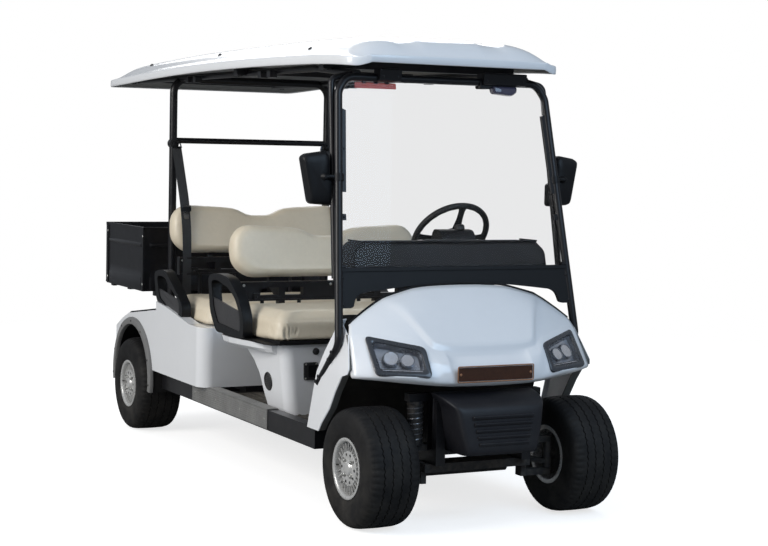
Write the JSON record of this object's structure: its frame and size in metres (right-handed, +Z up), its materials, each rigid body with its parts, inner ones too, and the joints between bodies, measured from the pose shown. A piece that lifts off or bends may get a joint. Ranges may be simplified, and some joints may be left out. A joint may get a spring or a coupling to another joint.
{
  "type": "four-seat golf cart",
  "caption": "Electric golf cart with a white moulded body, canopy roof, clear windscreen, cream bench seats, hip restraints and a black cargo box with a drop-down tailgate.",
  "frame": {"origin": "on the ground at the centre of the cart's outline", "axes": "+Z up, the front faces -Y, the cart's left side is +X"},
  "size_m": [1.252, 3.272, 1.87],
  "materials": {
    "white_body": "glossy white moulded panels",
    "black_steel": "satin black powder-coated steel",
    "running_gear": "dark grey paint",
    "battery_case": "plain case",
    "floor_mat": "ribbed dark floor mat",
    "step_metal": "ribbed aluminium",
    "lamp_lens": "clear lens over reflectors",
    "bumper_plastic": "grained dark grey",
    "plate": "dark brown with a copper edge, blank",
    "dark_plastic": "fine grain black",
    "wheel_grip": "soft black",
    "pedal_rubber": "black",
    "clear_glass": "clear",
    "cream_vinyl": "smooth cream vinyl",
    "tail_lens": "red lens",
    "belt_webbing": "woven black strap",
    "tyre_rubber": "black rubber",
    "wheel_silver": "bright silver"
  },
  "bodies": {
    "cart": {"chassis_frame": "black_steel", "cargo_stand": "black_steel", "front_suspension": "running_gear", "steering_rack": "running_gear", "rear_axle": "running_gear", "rear_springs": "running_gear", "battery_pack": "battery_case", "floor_pan": "floor_mat", "sills": "black_steel", "step_plates": "step_metal", "front_cowl": "white_body", "headlights": "lamp_lens", "front_bumper": "bumper_plastic", "number_plate": "plate", "dashboard": "dark_plastic", "steering_column": "dark_plastic", "pedals": "pedal_rubber", "windshield_frame": "black_steel", "windshield_glass": "clear_glass", "windshield_lower_panel": "dark_plastic", "roof": "white_body", "canopy_frame": "black_steel", "canopy_posts": "black_steel", "front_seat_cushion": "cream_vinyl", "rear_seat_cushion": "cream_vinyl", "front_backrest": "cream_vinyl", "rear_backrest": "cream_vinyl", "seat_frames": "black_steel", "hip_restraints": "black_steel", "front_seat_base": "white_body", "rear_body": "white_body", "arch_trims": "dark_plastic", "tail_lights": "tail_lens", "seat_belts": "belt_webbing", "mirrors": "dark_plastic", "cargo_box": "black_steel"},
    "knuckle_left": {"knuckle_left": "running_gear"},
    "knuckle_right": {"knuckle_right": "running_gear"},
    "steering_wheel": {"steering_wheel": "wheel_grip"},
    "tie_rod": {"tie_rod": "running_gear"},
    "tailgate": {"tailgate": "black_steel"},
    "wheel_front_left": {"tyre_front_left": "tyre_rubber", "rim_front_left": "wheel_silver"},
    "wheel_front_right": {"tyre_front_right": "tyre_rubber", "rim_front_right": "wheel_silver"},
    "wheel_rear_left": {"tyre_rear_left": "tyre_rubber", "rim_rear_left": "wheel_silver"},
    "wheel_rear_right": {"tyre_rear_right": "tyre_rubber", "rim_rear_right": "wheel_silver"}
  },
  "joints": [
    {"name": "steer_left", "type": "hinge", "parent": "cart", "child": "knuckle_left", "pos_m": [0.345, -1.39, 0.2285], "axis": [0, 0, 1], "range_deg": [-28, 28]},
    {"name": "steer_right", "type": "hinge", "parent": "cart", "child": "knuckle_right", "pos_m": [-0.345, -1.39, 0.2285], "axis": [0, 0, 1], "range_deg": [-28, 28]},
    {"name": "steering_wheel_turn", "type": "hinge", "parent": "cart", "child": "steering_wheel", "pos_m": [0.232, -0.76, 1.062], "axis": [0, 0.788, 0.6157], "range_deg": [-420, 420]},
    {"name": "tie_rod_shift", "type": "slide", "parent": "cart", "child": "tie_rod", "axis": [1, 0, 0], "range_m": [-0.049, 0.049]},
    {"name": "spin_front_left", "type": "hinge", "parent": "knuckle_left", "child": "wheel_front_left", "pos_m": [0.441, -1.39, 0.2285], "axis": [1, 0, 0], "continuous": true},
    {"name": "spin_front_right", "type": "hinge", "parent": "knuckle_right", "child": "wheel_front_right", "pos_m": [-0.441, -1.39, 0.2285], "axis": [1, 0, 0], "continuous": true},
    {"name": "spin_rear_left", "type": "hinge", "parent": "cart", "child": "wheel_rear_left", "pos_m": [0.481, 1.03, 0.2285], "axis": [1, 0, 0], "continuous": true},
    {"name": "spin_rear_right", "type": "hinge", "parent": "cart", "child": "wheel_rear_right", "pos_m": [-0.481, 1.03, 0.2285], "axis": [1, 0, 0], "continuous": true},
    {"name": "tailgate_drop", "type": "hinge", "parent": "cart", "child": "tailgate", "pos_m": [0, 1.627, 0.676], "axis": [-1, 0, 0], "range_deg": [0, 90]}
  ],
  "couplings": [
    {"joint": "steer_right", "follows": "steer_left", "ratio": 1},
    {"joint": "steering_wheel_turn", "follows": "steer_left", "ratio": 15},
    {"joint": "tie_rod_shift", "follows": "steer_left", "m_per_rad": -0.1}
  ]
}
